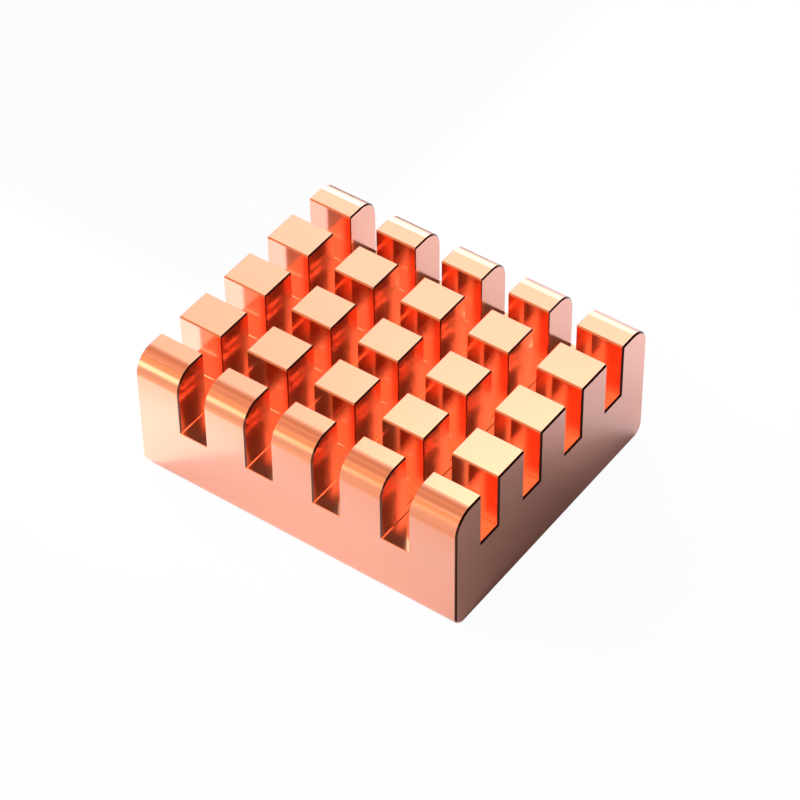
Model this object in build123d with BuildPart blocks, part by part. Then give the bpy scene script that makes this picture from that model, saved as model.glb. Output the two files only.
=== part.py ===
from build123d import *
import os

# Small one-piece copper heat sink for a chip on a circuit board. A bar with a comb section is
# drawn along X, slots are sawn across it along Y so that its fins become a grid of pins, and
# the bar is cut to length. Nothing on it moves and nothing is fastened to it.
# Frame: X along the fins, Y across them, Z up, origin at the middle of the flat base.
# Lengths are in millimetres.

# Bar
length = 14.0
width = 12.0
height = 5.5
shoulder_radius = 0.9
base_edge_radius = 0.5

# Long slots of the comb section, along X. The fins outside the first and last slot are as wide
# as given here, and the slots share what is left evenly. Their row sits a little nearer to the
# -Y side.
fin_slot_count = 4
fin_slot_width = 1.035
fin_slot_depth = 2.4
fin_slot_shift = 0.035
outer_fin_width = 1.56

# Slots sawn across the fins, along Y. They run deeper than the long ones, which leaves a step
# where the two cross, and their row sits a little nearer to the -X end.
saw_slot_count = 4
saw_slot_width = 1.16
saw_overcut = 0.4
saw_slot_shift = 0.05
end_pin_length = 1.965

# Root round at the foot of every slot wall, and the bevel that breaks every edge of the pins,
# slots and ends
root_radius = 0.1
edge_break = 0.06

fin_floor = height - fin_slot_depth
saw_floor = fin_floor - saw_overcut
fin_slot_pitch = (width - 2 * outer_fin_width - fin_slot_width) / (fin_slot_count - 1)
saw_slot_pitch = (length - 2 * end_pin_length - saw_slot_width) / (saw_slot_count - 1)

with BuildPart() as heat_sink:
    # Comb section: a block with the long slots cut from above, its corners dressed one kind at a time
    with BuildSketch(Plane.YZ) as section:
        Rectangle(width, height, align=(Align.CENTER, Align.MIN))
        with Locations((-fin_slot_shift, fin_floor)):
            with GridLocations(fin_slot_pitch, 0, fin_slot_count, 1):
                slot_align = (Align.CENTER, Align.MIN)
                Rectangle(fin_slot_width, fin_slot_depth, align=slot_align, mode=Mode.SUBTRACT)
        fillet(section.vertices().group_by(Axis.Y)[1], root_radius)
        chamfer(section.vertices().group_by(Axis.Y)[-1].sort_by(Axis.X)[1:-1], edge_break)
        top_row = section.vertices().group_by(Axis.Y)[-1].sort_by(Axis.X)
        fillet([top_row[0], top_row[-1]], shoulder_radius)
        fillet(section.vertices().group_by(Axis.Y)[0], base_edge_radius)
    extrude(amount=length / 2, both=True)

    # Saw slots: rounded-bottom slots cut right across the bar
    with BuildSketch(Plane.XZ) as saw_row:
        with Locations((-saw_slot_shift, saw_floor)):
            with GridLocations(saw_slot_pitch, 0, saw_slot_count, 1):
                Rectangle(saw_slot_width, height, align=(Align.CENTER, Align.MIN))
        fillet(saw_row.vertices().group_by(Axis.Y)[0], root_radius)
    extrude(amount=width / 2, both=True, mode=Mode.SUBTRACT)

    # Broken edges: the rims of both ends and of both walls of every saw slot. The line where
    # a wall runs out into its root round is smooth already and stays as it is.
    cut_faces = heat_sink.faces().filter_by(Axis.X).sort_by(Axis.X)
    end_rims = cut_faces[0].edges() + cut_faces[-1].edges()
    wall_rims = cut_faces[1:-1].edges().filter_by_position(
        Axis.Z, saw_floor + root_radius, height, inclusive=(False, True)
    )
    chamfer(end_rims + wall_rims, edge_break)

heat_sink.part.label = "heat_sink"

os.makedirs("parts", exist_ok=True)
export_step(heat_sink.part, "parts/heat_sink.step")
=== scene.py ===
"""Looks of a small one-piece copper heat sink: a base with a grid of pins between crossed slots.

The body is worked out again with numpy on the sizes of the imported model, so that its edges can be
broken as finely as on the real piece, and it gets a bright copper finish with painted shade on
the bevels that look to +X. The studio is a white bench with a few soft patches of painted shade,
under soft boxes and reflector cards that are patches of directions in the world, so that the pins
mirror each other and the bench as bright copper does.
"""

import logging
import math
from dataclasses import dataclass

import bpy
import numpy as np
from mathutils import Matrix, Vector

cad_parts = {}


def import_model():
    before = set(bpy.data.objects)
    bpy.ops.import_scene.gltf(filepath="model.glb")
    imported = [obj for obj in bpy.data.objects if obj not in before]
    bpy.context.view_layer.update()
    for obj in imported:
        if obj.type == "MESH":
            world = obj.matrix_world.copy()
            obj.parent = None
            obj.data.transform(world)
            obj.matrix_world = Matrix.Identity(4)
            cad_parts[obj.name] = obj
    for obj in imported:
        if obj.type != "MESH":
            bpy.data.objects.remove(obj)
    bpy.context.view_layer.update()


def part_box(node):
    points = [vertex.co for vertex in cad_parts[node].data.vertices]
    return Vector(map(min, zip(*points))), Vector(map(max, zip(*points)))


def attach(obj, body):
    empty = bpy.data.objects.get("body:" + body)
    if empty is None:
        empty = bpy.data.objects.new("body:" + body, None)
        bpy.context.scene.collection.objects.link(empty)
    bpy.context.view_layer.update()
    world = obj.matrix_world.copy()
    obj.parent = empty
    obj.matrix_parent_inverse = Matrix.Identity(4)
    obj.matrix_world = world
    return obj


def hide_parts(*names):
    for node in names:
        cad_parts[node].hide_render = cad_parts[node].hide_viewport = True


log = logging.getLogger("heat_sink_scene")

MM = 0.001
NODE = "heat_sink"
BODY = "root"
PIECE = "pin_block"
# Name of the face attribute that holds the share of painted shade on the bevels
SHADE_MARKS = "painted_bevel_shade"

# Parts of a face's unit normal along an axis: above the first it looks straight that way, above the
# second it leans that way, and below the third it doesn't lean that way at all.
STRAIGHT = 0.95
LEANING = 0.3
UPRIGHT = 0.1


def linear(hex_colour: str) -> tuple[float, float, float, float]:
    """Turn an sRGB hex colour into linear RGBA.

    Args:
        hex_colour: six hex digits after a hash sign.

    Returns:
        Linear red, green, blue and an alpha of one.
    """
    channels = [int(hex_colour[i:i + 2], 16) / 255 for i in (1, 3, 5)]
    r, g, b = (c / 12.92 if c <= 0.04045 else ((c + 0.055) / 1.055) ** 2.4 for c in channels)
    return (r, g, b, 1.0)


def add(tree: bpy.types.NodeTree, kind: str,
        links: dict[str | int, bpy.types.NodeSocket] | None = None,
        **settings: object) -> bpy.types.Node:
    """Add one node with its settings, and link sockets into it.

    Args:
        tree: the node tree that gets the node.
        kind: the node's type name, such as ShaderNodeMath.
        links: output sockets by the name or index of the input they feed.
        settings: properties of the node, or values of its input sockets, either by name with _ for
            a space, or by index, such as in7.

    Returns:
        The new node.
    """
    node = tree.nodes.new(kind)
    for name, value in settings.items():
        socket = name.replace("_", " ")
        if hasattr(node, name):
            setattr(node, name, value)
        elif socket.lstrip("in").isdigit():
            node.inputs[int(socket.lstrip("in"))].default_value = value
        else:
            node.inputs[socket].default_value = value
    for target, source in (links or {}).items():
        tree.links.new(source, node.inputs[target])
    return node


def view_direction(azimuth: float, elevation: float) -> Vector:
    """Unit vector to an azimuth and elevation in degrees. Azimuth 0 is -Y, and +X is at 90."""
    az, el = math.radians(azimuth), math.radians(elevation)
    return Vector((math.sin(az) * math.cos(el), -math.cos(az) * math.cos(el), math.sin(el)))


def face_vectors(mesh: bpy.types.Mesh, name: str) -> np.ndarray:
    """Read a vector of every face, such as its normal or its center, as rows of x, y and z."""
    values = np.empty(len(mesh.polygons) * 3)
    mesh.polygons.foreach_get(name, values)
    return values.reshape(-1, 3)


def edge_corners(mesh: bpy.types.Mesh) -> np.ndarray:
    """Number the two face corners where every edge of a closed mesh starts, as two rows."""
    edge_of_corner = np.empty(len(mesh.loops), int)
    mesh.loops.foreach_get("edge_index", edge_of_corner)
    return np.argsort(edge_of_corner, kind="stable").reshape(-1, 2).T


def edge_faces(mesh: bpy.types.Mesh) -> np.ndarray:
    """Number the two faces of every edge of a closed mesh, as two rows in its edges' order."""
    corners = np.empty(len(mesh.polygons), int)
    mesh.polygons.foreach_get("loop_total", corners)
    face_of_corner = np.repeat(np.arange(len(corners)), corners)
    return face_of_corner[edge_corners(mesh)]


def hollow_edges(mesh: bpy.types.Mesh) -> np.ndarray:
    """Tell for every edge whether its two faces meet in a hollow, as at the foot of a slot.

    With n1 and n2 the two normals and d the edge as the first face's outline runs along it, the
    edge is hollow where (n1 x n2) . d is negative.

    Args:
        mesh: a closed mesh whose faces all look outward.

    Returns:
        One truth value per edge.
    """
    first, second = edge_faces(mesh)
    normals = face_vectors(mesh, "normal")
    places = np.empty(len(mesh.vertices) * 3)
    mesh.vertices.foreach_get("co", places)
    vertex_of_corner = np.empty(len(mesh.loops), int)
    mesh.loops.foreach_get("vertex_index", vertex_of_corner)
    start, stop = places.reshape(-1, 3)[vertex_of_corner[edge_corners(mesh)]]
    return (np.cross(normals[first], normals[second]) * (stop - start)).sum(axis=1) < 0


def turned_edges(mesh: bpy.types.Mesh, angle: float) -> np.ndarray:
    """Tell for every edge whether its two faces turn by more than an angle in degrees."""
    first, second = edge_faces(mesh)
    normals = face_vectors(mesh, "normal")
    return (normals[first] * normals[second]).sum(axis=1) < math.cos(math.radians(angle))


def modified(mesh: bpy.types.Mesh, kind: str, **settings: object) -> bpy.types.Mesh:
    """Run one modifier on a mesh and drop the mesh that went in.

    Args:
        mesh: the mesh to change.
        kind: the modifier's type, such as BEVEL.
        settings: properties of the modifier.

    Returns:
        The new mesh.
    """
    holder = bpy.data.objects.new(mesh.name, mesh)
    bpy.context.scene.collection.objects.link(holder)
    modifier = holder.modifiers.new(kind.lower(), kind)
    for name, value in settings.items():
        setattr(modifier, name, value)
    graph = bpy.context.evaluated_depsgraph_get()
    result = bpy.data.meshes.new_from_object(holder.evaluated_get(graph), depsgraph=graph)
    bpy.data.objects.remove(holder)
    bpy.data.meshes.remove(mesh)
    return result


def soft_window(tree: bpy.types.NodeTree, value: bpy.types.NodeSocket, middle: float, half: float,
                softness: float) -> bpy.types.NodeSocket:
    """Share of a value inside a window: one near its middle, zero outside, smooth between.

    Args:
        tree: the node tree.
        value: the value as a socket.
        middle: the window's middle.
        half: half of its width, where the share is a half.
        softness: how far the smooth step reaches to both sides of that.

    Returns:
        The socket with the share.
    """
    off = add(tree, "ShaderNodeMath", {0: value}, operation="SUBTRACT", in1=middle)
    size = add(tree, "ShaderNodeMath", {0: off.outputs[0]}, operation="ABSOLUTE")
    step = add(tree, "ShaderNodeMapRange", {"Value": size.outputs[0]},
               interpolation_type="SMOOTHSTEP", From_Min=half + softness, From_Max=half - softness)
    return step.outputs["Result"]


def quarter_arc(centre: tuple[float, float], radius: float, start: float,
                steps: int) -> np.ndarray:
    """Points of a quarter circle: centre plus radius times cosine and sine of even angles.

    Args:
        centre: y and z of the arc's centre.
        radius: the arc's radius.
        start: angle of its first point in degrees, turning anticlockwise from +Y.
        steps: straight steps along the arc.

    Returns:
        An array of steps + 1 rows of y and z.
    """
    angles = np.radians(start + np.linspace(0.0, 90.0, steps + 1))
    return np.array(centre) + radius * np.column_stack([np.cos(angles), np.sin(angles)])


@dataclass
class PinBlock:
    """The heat sink's body, in millimetres, X along the long slots and Z up from the base."""

    length: float
    width: float
    height: float
    # Rounds of the section's outer corners, and the straight steps that draw each
    shoulder_radius: float = 0.9
    base_edge_radius: float = 0.5
    shoulder_steps: int = 32
    base_steps: int = 14
    # Long slots along X, whose row sits a little nearer to the -Y side
    long_slot_count: int = 4
    long_slot_width: float = 1.035
    long_slot_pitch: float = 2.615
    long_slot_depth: float = 2.4
    long_slot_shift: float = 0.035
    # Saw slots along Y, whose row sits a little nearer to the -X end
    saw_slot_count: int = 4
    saw_slot_width: float = 1.16
    saw_slot_pitch: float = 2.97
    saw_overcut: float = 0.4
    saw_slot_shift: float = 0.05
    # Widths of the flat bevels that break the edges, and the turn in degrees that makes an edge
    rim_width: float = 0.068
    edge_break: float = 0.056
    fine_edge_break: float = 0.03
    root_width: float = 0.022
    sill_width: float = 0.02
    sharp_angle: float = 25.0
    # How dark the painted shade is on the +X bevels of the end, top rims and pins' sides, and on
    # the front bevels
    end_shade: float = 0.96
    rim_shade: float = 0.87
    side_shade: float = 0.85
    front_bevel_shade: float = 0.35
    # How far from a place the middle of a face still counts as there
    margin: float = 0.1

    @classmethod
    def from_frame(cls) -> "PinBlock":
        """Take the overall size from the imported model's box."""
        low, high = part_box(NODE)
        length, width, height = (high - low) / MM
        return cls(length=length, width=width, height=height)

    def long_slot_edges(self) -> np.ndarray:
        """Y of both walls of each long slot, one row per slot, from +Y to -Y."""
        places = (self.long_slot_count - 1) / 2 - np.arange(self.long_slot_count)
        centres = places * self.long_slot_pitch - self.long_slot_shift
        return centres[:, None] + np.array([0.5, -0.5]) * self.long_slot_width

    def saw_slot_edges(self) -> np.ndarray:
        """X of both walls of each saw slot, one row per slot, from -X to +X."""
        places = np.arange(self.saw_slot_count) - (self.saw_slot_count - 1) / 2
        centres = places * self.saw_slot_pitch - self.saw_slot_shift
        return centres[:, None] + np.array([-0.5, 0.5]) * self.saw_slot_width

    def outline(self) -> tuple[np.ndarray, int]:
        """The comb section, anticlockwise seen from +X, starting on the +Y side at the saw floor.

        It climbs the +Y shoulder, runs down and up each long slot, goes over the -Y shoulder down
        to the saw floor, and returns under the base through its two rounded edges.

        Returns:
            Rows of y and z, and how many of them belong to the comb above the saw floor.
        """
        half = self.width / 2
        slot_floor = self.height - self.long_slot_depth
        saw_floor = slot_floor - self.saw_overcut
        round_over, round_under = self.shoulder_radius, self.base_edge_radius
        inset, up = half - round_over, self.height - round_over
        walls = self.long_slot_edges()
        levels = np.array([self.height, slot_floor, slot_floor, self.height])
        slots = np.column_stack([np.repeat(walls, 2, axis=1).ravel(), np.tile(levels, len(walls))])
        comb = np.vstack([
            [[half, saw_floor]],
            quarter_arc((inset, up), round_over, 0.0, self.shoulder_steps),
            slots,
            quarter_arc((-inset, up), round_over, 90.0, self.shoulder_steps),
            [[-half, saw_floor]],
        ])
        base = np.vstack([
            quarter_arc((round_under - half, round_under), round_under, 180.0, self.base_steps),
            quarter_arc((half - round_under, round_under), round_under, 270.0, self.base_steps),
        ])
        return np.vstack([comb, base]), len(comb)

    def surface(self) -> tuple[np.ndarray, list[list[int]]]:
        """Carry the comb section along X, and drop to the base's section inside the saw slots.

        A vertex is station times the outline's count plus its place on the outline. A strip between
        two stations joins each outline step to the same step at the next station. Over a saw slot
        the strip leaves out the comb and closes over the saw floor instead, and each wall is the
        comb above that floor as one flat face.

        Returns:
            Vertex places in millimetres and faces as lists of vertex numbers.
        """
        ring, comb_count = self.outline()
        count = len(ring)
        half = self.length / 2
        stations = np.concatenate([[-half], self.saw_slot_edges().ravel(), [half]])
        places = np.column_stack([np.repeat(stations, count), np.tile(ring, (len(stations), 1))])
        here = np.arange(count)
        full_steps = np.column_stack([here, np.roll(here, -1)])
        under = full_steps[comb_count - 1:]
        low_steps = np.vstack([[[0, comb_count - 1]], under])
        faces: list[list[int]] = []
        # Strips over pins and over saw slots take turns, and the first is over pins
        for k in range(len(stations) - 1):
            steps = full_steps if k % 2 == 0 else low_steps
            a, b = steps[:, 0] + k * count, steps[:, 1] + k * count
            faces += np.column_stack([a, b, b + count, a + count]).tolist()
        comb = np.arange(comb_count)
        for k in range(1, len(stations) - 1):
            wall = comb + k * count
            faces.append((wall if k % 2 else wall[::-1]).tolist())
        faces.append((here + (len(stations) - 1) * count).tolist())
        faces.append(here[::-1].tolist())
        return places, faces

    def break_widths(self, mesh: bpy.types.Mesh) -> np.ndarray:
        """Width of the bevel on each edge, as a share of the widest.

        The edges of the cut-off +X end have the widest bevel. The edges of walls that look to -X,
        the top edges on the +Y sides and the upright edges inside the long slots have a fine one.
        The finest are the roots at the feet of the slots, and the sills, where a slot floor runs
        out into a saw slot or the front face.

        Args:
            mesh: the blank with unbroken edges.

        Returns:
            One share per edge, zero on the smooth steps of the arcs.
        """
        first, second = edge_faces(mesh)
        normals, middles = face_vectors(mesh, "normal"), face_vectors(mesh, "center")
        low = np.minimum(normals[first], normals[second])
        high = np.maximum(normals[first], normals[second])
        below_slots = middles[:, 2] < self.height - self.long_slot_depth + self.margin
        floor = (normals[:, 2] > STRAIGHT) & below_slots
        inside = np.abs(middles[:, 1]) < self.width / 2 - self.margin
        cheek = (np.abs(normals[:, 1]) > STRAIGHT) & inside
        end = np.maximum(middles[first, 0], middles[second, 0]) > self.length / 2 - self.margin
        left = low[:, 0] < -STRAIGHT
        back = (high[:, 1] > STRAIGHT) & (high[:, 2] > STRAIGHT)
        slot_side = (cheek[first] | cheek[second]) & (high[:, 2] < UPRIGHT)
        width = np.where(left | back | slot_side, self.fine_edge_break, self.edge_break)
        width = np.where(floor[first] | floor[second], self.sill_width, width)
        width = np.where(end, self.rim_width, width)
        width = np.where(hollow_edges(mesh), self.root_width, width)
        return turned_edges(mesh, self.sharp_angle) * width / self.rim_width

    def lay_painted_shade(self, mesh: bpy.types.Mesh) -> None:
        """Store how much painted shade darkens each face, as an attribute of the mesh.

        The shade is painted on the bevels that look half way to +X, away from the lamps: most on
        the cut-off end, and less on the top rims, the shoulders and the sides of the inner pins.
        The bevels on the -Y side of the pin tops get a light painted shade. The slot roots and the
        edges under the base have none.

        Args:
            mesh: the finished body in millimetres.
        """
        normals, middles = face_vectors(mesh, "normal"), face_vectors(mesh, "center")
        half_way = (normals[:, 0] > LEANING) & (normals[:, 0] < STRAIGHT)
        bevel = half_way & (normals[:, 2] > -LEANING)
        end = middles[:, 0] > self.length / 2 - self.rim_width
        above_roots = middles[:, 2] > self.height - self.long_slot_depth + self.rim_width
        upper = (normals[:, 2] > UPRIGHT) & above_roots
        sides = np.where(normals[:, 2] < UPRIGHT, self.side_shade, 0.0)
        shade_tone = np.where(end, self.end_shade, np.where(upper, self.rim_shade, sides))
        flat_top = np.abs(middles[:, 1]) < self.width / 2 - self.shoulder_radius
        front = (normals[:, 1] < -LEANING) & (normals[:, 2] < STRAIGHT)
        shade_share = flat_top & front & (middles[:, 2] > self.height - self.edge_break)
        shares = np.where(bevel, shade_tone, shade_share * self.front_bevel_shade)
        marks = mesh.attributes.new(SHADE_MARKS, "FLOAT", "FACE")
        marks.data.foreach_set("value", shares.astype(np.float32))

    def build(self) -> bpy.types.Object:
        """Make the finished body: the surface with its edges broken and its arcs shaded smooth.

        The edges are bevelled in millimetres, on a body a thousand times the real size, because the
        bevels are finer than what the modifier keeps apart in metres. Each bevel stays flat across
        its width, so that it mirrors one direction.

        Returns:
            The body in metres with its object at the origin.
        """
        places, faces = self.surface()
        blank = bpy.data.meshes.new("pin_block_blank")
        blank.from_pydata(places.tolist(), [], faces)
        blank.polygons.foreach_set("use_smooth", np.ones(len(blank.polygons), bool))
        weights = blank.attributes.new("bevel_weight_edge", "FLOAT", "EDGE")
        weights.data.foreach_set("value", self.break_widths(blank).astype(np.float32))
        bevelled = modified(blank, "BEVEL", width=self.rim_width, segments=1, limit_method="WEIGHT",
                            use_clamp_overlap=False)
        creases = bevelled.attributes.new("sharp_edge", "BOOLEAN", "EDGE")
        creases.data.foreach_set("value", turned_edges(bevelled, self.sharp_angle))
        finished = modified(bevelled, "WEIGHTED_NORMAL", mode="FACE_AREA", weight=100,
                            keep_sharp=True)
        self.lay_painted_shade(finished)
        finished.transform(Matrix.Scale(MM, 4))
        finished.name = PIECE
        body = bpy.data.objects.new(PIECE, finished)
        bpy.context.scene.collection.objects.link(body)
        return body


@dataclass(frozen=True)
class BrightCopper:
    """Electrolytic copper, drawn, sawn and bright dipped.

    To the eye: a salmon metal that mirrors its surroundings a little softly, and deepens to orange
    red where two or more of its own faces mirror each other. Fine drawing lines along X vary the
    gloss a little, and the sawn walls blur their reflections a little more. The bevels on the +X
    side of each saw cut, away from the lamps, carry a nearly black painted shade, and the front
    bevels of the pin tops a light one. Lengths are in millimetres. The lines are drawn about
    five times as coarse as real ones, to show.
    """

    name: str = "bright_dipped_copper"
    clean: str = "#FBB498"
    warmer: str = "#FAB294"
    shade_tone: str = "#2E140E"
    roughness: float = 0.12
    roughness_swing: float = 0.02
    sawn_roughness: float = 0.015
    cloud_size: float = 4.0
    draw_mark_length: float = 8.0
    draw_mark_width: float = 0.1

    def drawing_lines(self, tree: bpy.types.NodeTree,
                      place: bpy.types.NodeSocket) -> bpy.types.NodeSocket:
        """Spread noise that is long along X and fine across it, as a share from zero to one."""
        along, across = 1 / (self.draw_mark_length * MM), 1 / (self.draw_mark_width * MM)
        stretched = add(tree, "ShaderNodeMapping", {"Vector": place},
                        Scale=(along, across, across))
        grain = add(tree, "ShaderNodeTexNoise", {"Vector": stretched.outputs["Vector"]}, Scale=1.0,
                    Detail=2.0, Roughness=0.6)
        return grain.outputs["Fac"]

    def material(self) -> bpy.types.Material:
        """Build the finish: faint tarnish clouds, drawing lines in the gloss, and painted shade
        on the bevels.

        Returns:
            The finished material.
        """
        material = bpy.data.materials.new(self.name)
        material.use_nodes = True
        tree = material.node_tree
        tree.nodes.clear()
        place = add(tree, "ShaderNodeTexCoord").outputs["Object"]
        clouds = add(tree, "ShaderNodeTexNoise", {"Vector": place},
                     Scale=1 / (self.cloud_size * MM), Detail=3.0, Roughness=0.5)
        tone = add(tree, "ShaderNodeMix", {0: clouds.outputs["Fac"]}, data_type="RGBA",
                   in6=linear(self.clean), in7=linear(self.warmer))
        # Painted shade: the marked bevels are darkened towards a near black
        shade_share = add(tree, "ShaderNodeAttribute", attribute_name=SHADE_MARKS)
        colour = add(tree, "ShaderNodeMix", {0: shade_share.outputs["Fac"], 6: tone.outputs[2]},
                     data_type="RGBA", in7=linear(self.shade_tone))
        lines = self.drawing_lines(tree, place)
        gloss = add(tree, "ShaderNodeMapRange", {"Value": lines},
                    To_Min=self.roughness - self.roughness_swing,
                    To_Max=self.roughness + self.roughness_swing)
        facing = add(tree, "ShaderNodeSeparateXYZ",
                     {"Vector": add(tree, "ShaderNodeNewGeometry").outputs["True Normal"]})
        sideways = add(tree, "ShaderNodeMath", {0: facing.outputs["X"]}, operation="ABSOLUTE")
        sawn = add(tree, "ShaderNodeMath", {0: sideways.outputs[0]}, operation="GREATER_THAN",
                   in1=STRAIGHT)
        rough = add(tree, "ShaderNodeMath", {0: sawn.outputs[0], 2: gloss.outputs["Result"]},
                    operation="MULTIPLY_ADD", in1=self.sawn_roughness)
        shader = add(tree, "ShaderNodeBsdfPrincipled",
                     {"Base Color": colour.outputs[2], "Roughness": rough.outputs[0]}, Metallic=1.0)
        add(tree, "ShaderNodeOutputMaterial", {"Surface": shader.outputs["BSDF"]})
        return material


@dataclass(frozen=True)
class Card:
    """A soft box or reflector of the studio, as a patch of directions with soft edges.

    Azimuth 0 is towards -Y, and it grows towards +X. All angles are in degrees. The level is how
    bright the patch is next to a white backdrop at one.
    """

    azimuth: float
    elevation: float
    half_width: float
    half_height: float
    softness: float
    tint: str
    level: float


# Each card covers what stands before it in this list
STUDIO_CARDS = (
    # Dim right half of the room
    Card(95.0, 45.0, 110.0, 60.0, 10.0, "#FFFFFF", 0.26),
    # Warm ceiling over the left half
    Card(-87.0, 64.0, 64.0, 36.0, 9.0, "#FFC8A2", 0.76),
    # Pale patches of the ceiling, and a cream board high at the back left
    Card(-76.0, 61.0, 11.0, 9.0, 6.0, "#FFCDAC", 0.9),
    Card(-124.0, 59.0, 7.0, 8.0, 5.0, "#FFD5CA", 0.84),
    Card(-139.0, 50.0, 9.0, 12.0, 4.0, "#FFE5D0", 1.05),
    # White sheet high in front
    Card(-19.0, 54.0, 17.0, 16.0, 4.0, "#FFFBF4", 1.45),
    # Warm reflector low at the left front
    Card(-46.0, 26.0, 25.0, 21.0, 6.0, "#FFC193", 1.25),
    # Long white screen round the left side
    Card(-106.0, 22.0, 65.0, 12.0, 5.0, "#FFF4FF", 3.0),
    # White sheets at the back left, brighter low down and overhead
    Card(-147.0, 24.0, 13.0, 39.0, 12.0, "#FFFFF0", 1.1),
    Card(-151.0, 21.0, 14.0, 18.0, 10.0, "#E8F6FF", 2.6),
    Card(-160.0, 57.7, 17.0, 12.0, 3.5, "#FFFFF0", 2.6),
    # Soft box at the back left
    Card(-126.0, 16.5, 21.0, 15.5, 4.0, "#DCF4FF", 11.5),
    # Tall soft box at the front left
    Card(-67.0, 22.0, 9.0, 28.0, 4.0, "#F6FFFF", 14.0),
    # Small white board low in front
    Card(-45.0, 8.0, 14.5, 15.0, 8.0, "#F4FFE9", 3.8),
    # Black flag on the right, and a cool gleam behind it
    Card(102.0, 45.0, 81.0, 55.0, 8.0, "#FFF4EC", 0.14),
    Card(147.0, 27.0, 13.0, 9.0, 8.0, "#E6E0FF", 0.52),
    # Warm glow along the bench in front
    Card(6.5, -3.4, 38.0, 7.6, 4.0, "#FFAA5A", 1.0),
)


@dataclass(frozen=True)
class BenchSpot:
    """A small focused lamp that brightens a pool on the bench beside the body.

    The target, the distance and the lamp's radius are in millimetres, and angles are in degrees.
    The level is the brightness that it adds to a white bench at the middle of its pool. The metal
    doesn't mirror the lamp.
    """

    name: str
    azimuth: float
    elevation: float
    distance: float
    target: tuple[float, float, float]
    half_cone: float
    blend: float
    lamp_radius: float
    tint: str
    level: float

    def build(self, bench_albedo: float) -> None:
        """Hang the lamp and point it.

        A lamp of P watts gives P / 4 pi per unit of solid angle, and a matt bench turns that into
        albedo * P * sin(elevation) / (4 pi^2 * distance^2).

        Args:
            bench_albedo: share of light that the bench returns.
        """
        back = view_direction(self.azimuth, self.elevation)
        place = Vector(self.target) + back * self.distance
        lamp = bpy.data.lights.new(self.name, "SPOT")
        lamp.color = linear(self.tint)[:3]
        lamp.spot_size = math.radians(2 * self.half_cone)
        lamp.spot_blend = self.blend
        lamp.shadow_soft_size = self.lamp_radius * MM
        reach = (self.distance * MM) ** 2
        lamp.energy = self.level * 4 * math.pi ** 2 * reach / (bench_albedo * back.z)
        holder = bpy.data.objects.new(self.name, lamp)
        bpy.context.scene.collection.objects.link(holder)
        turn = back.to_track_quat("Z", "Y").to_matrix().to_4x4()
        holder.matrix_world = Matrix.Translation(place * MM) @ turn
        holder.visible_glossy = False


BENCH_SPOTS = (
    BenchSpot("corner_spot", -138.0, 45.0, 45.0, (-9.0, -8.0, 0.0), 7.0, 0.7, 4.0,
              "#FFF0D4", 0.66),
    BenchSpot("left_front_spot", 0.0, 62.0, 60.0, (-3.5, -6.6, 0.0), 6.0, 1.0, 3.0,
              "#FFF4E0", 0.2),
    BenchSpot("right_front_spot", 0.0, 62.0, 60.0, (3.2, -6.6, 0.0), 6.0, 1.0, 3.0,
              "#FFF4E0", 0.22),
    BenchSpot("back_spot", 150.0, 55.0, 50.0, (9.5, 8.5, 0.0), 7.0, 1.0, 3.0,
              "#F4F8FF", 0.12),
)


@dataclass(frozen=True)
class ShadePatch:
    """A soft-edged rectangle of painted shade on the bench, lengths in millimetres."""

    x: float
    y: float
    half_x: float
    half_y: float
    softness: float
    tint: str


# Patches of painted shade on the bench, which the metal mirrors as darker floor
BENCH_SHADING = (
    # Painted warm shade on the bench from 4 mm in front of the body
    ShadePatch(-5.0, -59.8, 60.0, 50.0, 1.7, "#DCC0AC"),
    # Light painted shade along the front half of the body's right side
    ShadePatch(38.0, -2.0, 31.0, 4.5, 1.0, "#CBD6EA"),
    # Painted grey shade beside the rear half of the body's left side
    ShadePatch(-38.0, 19.0, 30.0, 16.6, 0.8, "#A29A9C"),
)


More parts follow.
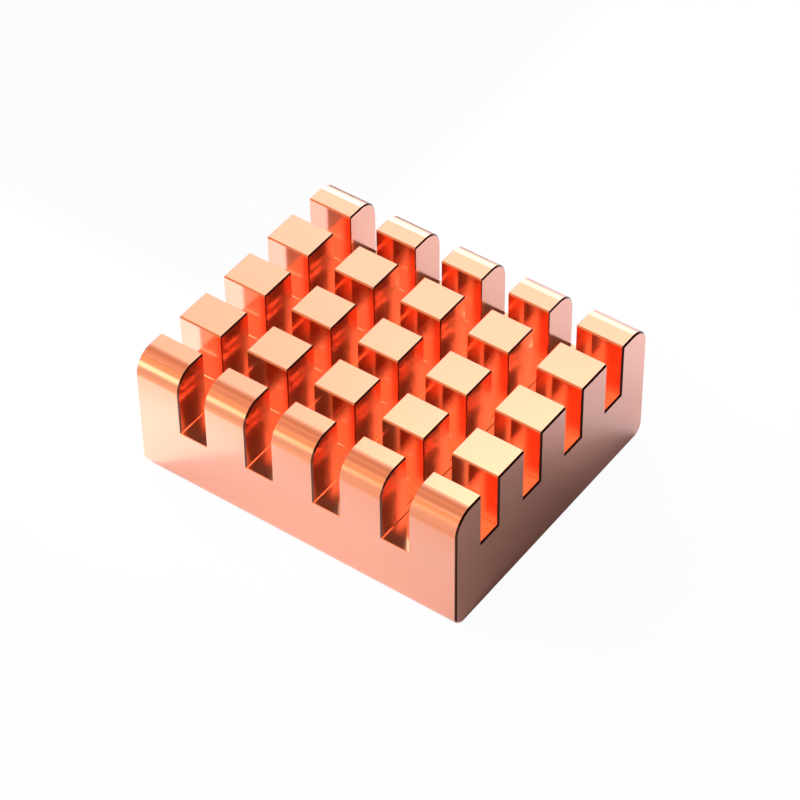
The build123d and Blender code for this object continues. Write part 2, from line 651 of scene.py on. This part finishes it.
@dataclass
class Studio:
    """White bench, soft world light and the cards, at the level where a colour looks as written.

    The two lifts are the shares of plain white that the bench shows to the camera and in mirrors.
    Lengths are in metres.
    """

    bench_radius: float = 1.2
    bench_sides: int = 64
    bench_colour: str = "#E0E9FC"
    bench_lift_camera: float = 0.96
    bench_lift_mirror: float = 0.02
    backdrop: float = 1.0
    mirror_bounces: int = 8
    cards: tuple[Card, ...] = STUDIO_CARDS
    shade_patches: tuple[ShadePatch, ...] = BENCH_SHADING
    spots: tuple[BenchSpot, ...] = BENCH_SPOTS

    def card_mask(self, tree: bpy.types.NodeTree, direction: bpy.types.NodeSocket,
                  height: bpy.types.NodeSocket, card: Card) -> bpy.types.NodeSocket:
        """Share of a card in a direction: one inside, zero outside, with a smooth step between.

        The direction is turned about Z until the card lies at azimuth 0. Its azimuth and elevation
        are then compared with the card's half width and half height.

        Args:
            tree: the world's node tree.
            direction: the direction as a vector socket.
            height: the direction's elevation in radians.
            card: the card.

        Returns:
            The socket with the share.
        """
        turned = add(tree, "ShaderNodeVectorRotate", {"Vector": direction}, rotation_type="Z_AXIS",
                     Angle=-math.radians(card.azimuth))
        parts = add(tree, "ShaderNodeSeparateXYZ", {"Vector": turned.outputs["Vector"]})
        front = add(tree, "ShaderNodeMath", {0: parts.outputs["Y"]}, operation="MULTIPLY", in1=-1.0)
        side = add(tree, "ShaderNodeMath", {0: parts.outputs["X"], 1: front.outputs[0]},
                   operation="ARCTAN2")
        soft = math.radians(card.softness)
        across = soft_window(tree, side.outputs[0], 0.0, math.radians(card.half_width), soft)
        upright = soft_window(tree, height, math.radians(card.elevation),
                              math.radians(card.half_height), soft)
        share = add(tree, "ShaderNodeMath", {0: across, 1: upright}, operation="MULTIPLY")
        return share.outputs[0]

    def world(self) -> None:
        """Build the world: a white backdrop, with the cards laid over it for all but the camera."""
        world = bpy.data.worlds.new("studio")
        world.use_nodes = True
        bpy.context.scene.world = world
        tree = world.node_tree
        tree.nodes.clear()
        direction = add(tree, "ShaderNodeTexCoord").outputs["Generated"]
        parts = add(tree, "ShaderNodeSeparateXYZ", {"Vector": direction})
        height = add(tree, "ShaderNodeMath", {0: parts.outputs["Z"]}, operation="ARCSINE")
        white = (self.backdrop, self.backdrop, self.backdrop, 1.0)
        seen = add(tree, "ShaderNodeRGB").outputs[0]
        seen.default_value = white
        for card in self.cards:
            red, green, blue = Vector(linear(card.tint)[:3]) * card.level
            share = self.card_mask(tree, direction, height.outputs[0], card)
            mix = add(tree, "ShaderNodeMix", {0: share, 6: seen}, data_type="RGBA",
                      clamp_factor=False, in7=(red, green, blue, 1.0))
            seen = mix.outputs[2]
        ray = add(tree, "ShaderNodeLightPath")
        shown = add(tree, "ShaderNodeMix", {0: ray.outputs["Is Camera Ray"], 6: seen},
                    data_type="RGBA", in7=white)
        light = add(tree, "ShaderNodeBackground", {"Color": shown.outputs[2]}, Strength=1.0)
        add(tree, "ShaderNodeOutputWorld", {"Surface": light.outputs[0]})

    def paper_with_shade(self, tree: bpy.types.NodeTree) -> bpy.types.NodeSocket:
        """Colour of the bench: cool white with patches of painted shade, each a soft window."""
        place = add(tree, "ShaderNodeTexCoord").outputs["Object"]
        parts = add(tree, "ShaderNodeSeparateXYZ", {"Vector": place})
        shaded_paper = add(tree, "ShaderNodeRGB").outputs[0]
        shaded_paper.default_value = linear(self.bench_colour)
        for each_patch in self.shade_patches:
            soft = each_patch.softness * MM
            across = soft_window(tree, parts.outputs["X"], each_patch.x * MM, each_patch.half_x * MM, soft)
            along = soft_window(tree, parts.outputs["Y"], each_patch.y * MM, each_patch.half_y * MM, soft)
            share = add(tree, "ShaderNodeMath", {0: across, 1: along}, operation="MULTIPLY")
            mix = add(tree, "ShaderNodeMix", {0: share.outputs[0], 6: shaded_paper}, data_type="RGBA",
                      in7=linear(each_patch.tint))
            shaded_paper = mix.outputs[2]
        return shaded_paper

    def bench_material(self) -> bpy.types.Material:
        """Build the bench's finish: matt paper, pale to the camera with a light shadow.

        Returns:
            The finished material.
        """
        material = bpy.data.materials.new("matt_white_bench")
        material.use_nodes = True
        tree = material.node_tree
        tree.nodes.clear()
        ray = add(tree, "ShaderNodeLightPath").outputs
        paint = add(tree, "ShaderNodeBsdfDiffuse", {"Color": self.paper_with_shade(tree)})
        white = add(tree, "ShaderNodeEmission", Strength=1.0)
        camera = add(tree, "ShaderNodeMath", {0: ray["Is Camera Ray"]}, operation="MULTIPLY",
                     in1=self.bench_lift_camera)
        mirror = add(tree, "ShaderNodeMath",
                     {0: ray["Is Glossy Ray"], 1: ray["Is Transmission Ray"]}, operation="MAXIMUM")
        lift = add(tree, "ShaderNodeMath", {0: mirror.outputs[0], 2: camera.outputs[0]},
                   operation="MULTIPLY_ADD", in1=self.bench_lift_mirror)
        mix = add(tree, "ShaderNodeMixShader",
                  {0: lift.outputs[0], 1: paint.outputs[0], 2: white.outputs[0]})
        add(tree, "ShaderNodeOutputMaterial", {"Surface": mix.outputs[0]})
        return material

    def bench(self) -> None:
        """Lay the bench: a disc at z = 0."""
        angles = np.linspace(0.0, 2 * np.pi, self.bench_sides, endpoint=False)
        rim = np.column_stack([np.cos(angles), np.sin(angles), 0 * angles]) * self.bench_radius
        mesh = bpy.data.meshes.new("bench")
        mesh.from_pydata(rim.tolist(), [], [list(range(self.bench_sides))])
        mesh.materials.append(self.bench_material())
        bench = bpy.data.objects.new("bench", mesh)
        bpy.context.scene.collection.objects.link(bench)

    def build(self) -> None:
        """Set up the view transform, the world, the bench and its spots."""
        bpy.context.scene.view_settings.view_transform = "Standard"
        bpy.context.scene.cycles.glossy_bounces = self.mirror_bounces
        self.world()
        self.bench()
        # The bench is nearly neutral, so its green share stands for all three
        _, bench_albedo, _, _ = linear(self.bench_colour)
        for spot in self.spots:
            spot.build(bench_albedo)


@dataclass
class PhotoCamera:
    """The photograph's camera, fitted to its straight edges. Lengths are in millimetres."""

    azimuth: float = 36.361
    elevation: float = 44.872
    roll: float = -0.776
    distance: float = 118.534
    aim_right: float = 0.25
    aim_up: float = -0.042
    centre: tuple[float, float, float] = (0.0, 0.0, 2.5)
    focal_pixels: float = 3251.5
    frame_pixels: float = 800.0
    sensor: float = 36.0
    clip_start: float = 1.0

    def build(self) -> None:
        """Place the camera by its azimuth, elevation and distance, then aim and roll it."""
        roll = math.radians(self.roll)
        above = Vector((0, 0, 1))
        back = view_direction(self.azimuth, self.elevation)
        centre = Vector(self.centre)
        eye = centre + back * self.distance
        right = (-back).cross(above).normalized()
        up = right.cross(-back)
        forward = (centre + right * self.aim_right + up * self.aim_up - eye).normalized()
        right = forward.cross(above).normalized()
        up = right.cross(forward)
        level_right = right * math.cos(roll) + up * math.sin(roll)
        level_up = up * math.cos(roll) - right * math.sin(roll)
        turn = Matrix((level_right, level_up, -forward)).transposed().to_4x4()
        lens = bpy.data.cameras.new("photo_camera")
        lens.sensor_width = self.sensor
        lens.lens = self.sensor * self.focal_pixels / self.frame_pixels
        lens.clip_start = self.clip_start * MM
        camera = bpy.data.objects.new("photo_camera", lens)
        bpy.context.scene.collection.objects.link(camera)
        camera.matrix_world = Matrix.Translation(eye * MM) @ turn
        bpy.context.scene.camera = camera


def main() -> None:
    """Load the frame, build the camera, the body and the studio, and note the sizes."""
    logging.basicConfig(level=logging.INFO, format="%(name)s: %(message)s")
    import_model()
    PhotoCamera().build()
    body = PinBlock.from_frame().build()
    body.data.materials.clear()
    body.data.materials.append(BrightCopper().material())
    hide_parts(NODE)
    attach(body, BODY)
    body.data.calc_loop_triangles()
    log.info("%s: %d triangles", PIECE, len(body.data.loop_triangles))
    Studio().build()


if __name__ == "__main__":
    main()
